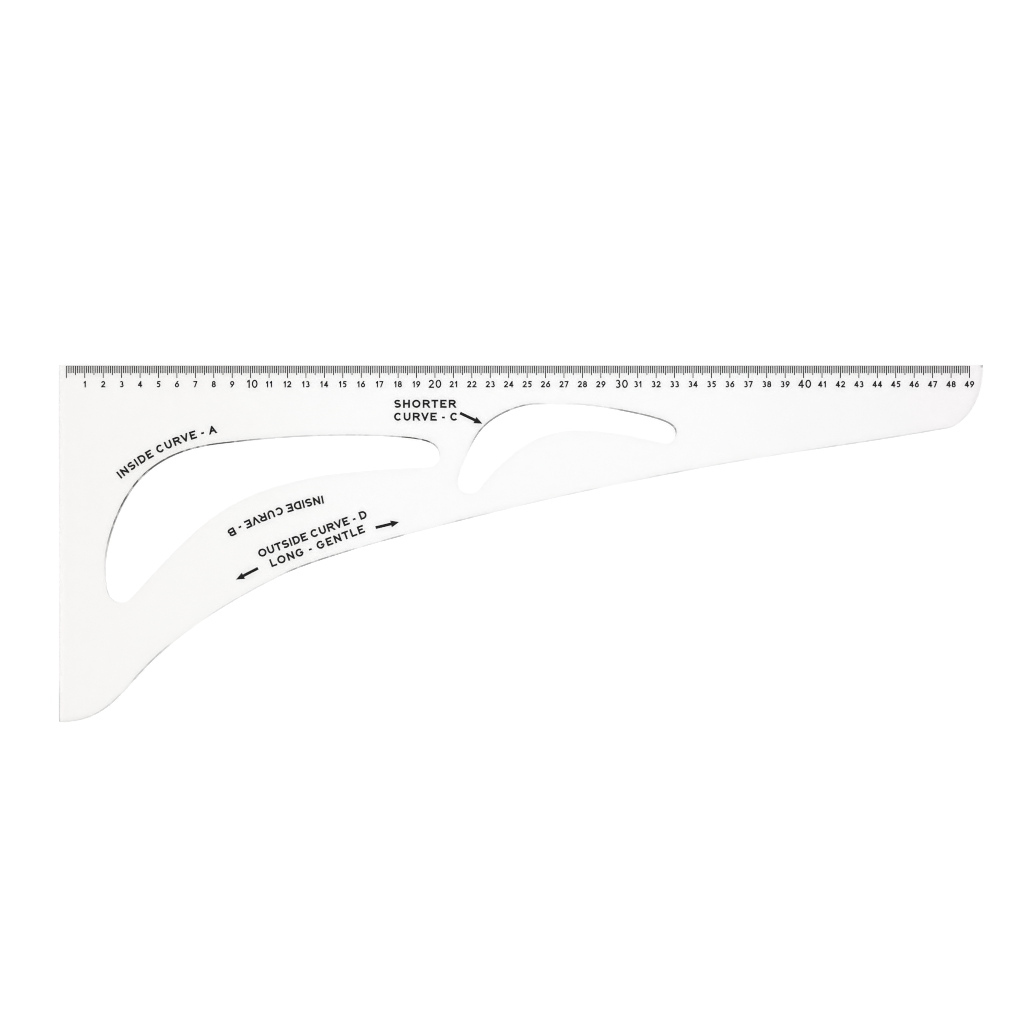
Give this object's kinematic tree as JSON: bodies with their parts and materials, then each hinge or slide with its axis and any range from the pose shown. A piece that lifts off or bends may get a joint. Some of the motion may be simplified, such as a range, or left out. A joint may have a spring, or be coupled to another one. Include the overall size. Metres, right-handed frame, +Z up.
{
  "type": "french curve",
  "caption": "Flat clear sheet with a straight centimetre scale, a square end, a long S-shaped hip edge, a rounded nose and two curved windows, printed in black.",
  "frame": {"origin": "bottom centre of the bounding box, on the unprinted back of the sheet", "axes": "+X along the scale towards the higher numbers, +Y from the hip edge to the scale edge, +Z up out of the printed face"},
  "size_m": [0.5016, 0.194, 0.0031],
  "materials": {
    "clear_acrylic": "polished",
    "black_ink": "satin"
  },
  "bodies": {
    "root": {"sheet": "clear_acrylic", "graduations_00_to_10_cm": "black_ink", "graduations_10_to_20_cm": "black_ink", "graduations_20_to_30_cm": "black_ink", "graduations_30_to_40_cm": "black_ink", "graduations_40_to_49_cm": "black_ink", "pointer_short_window": "black_ink", "pointer_hip_foot": "black_ink", "pointer_hip_nose": "black_ink"}
  },
  "joints": []
}
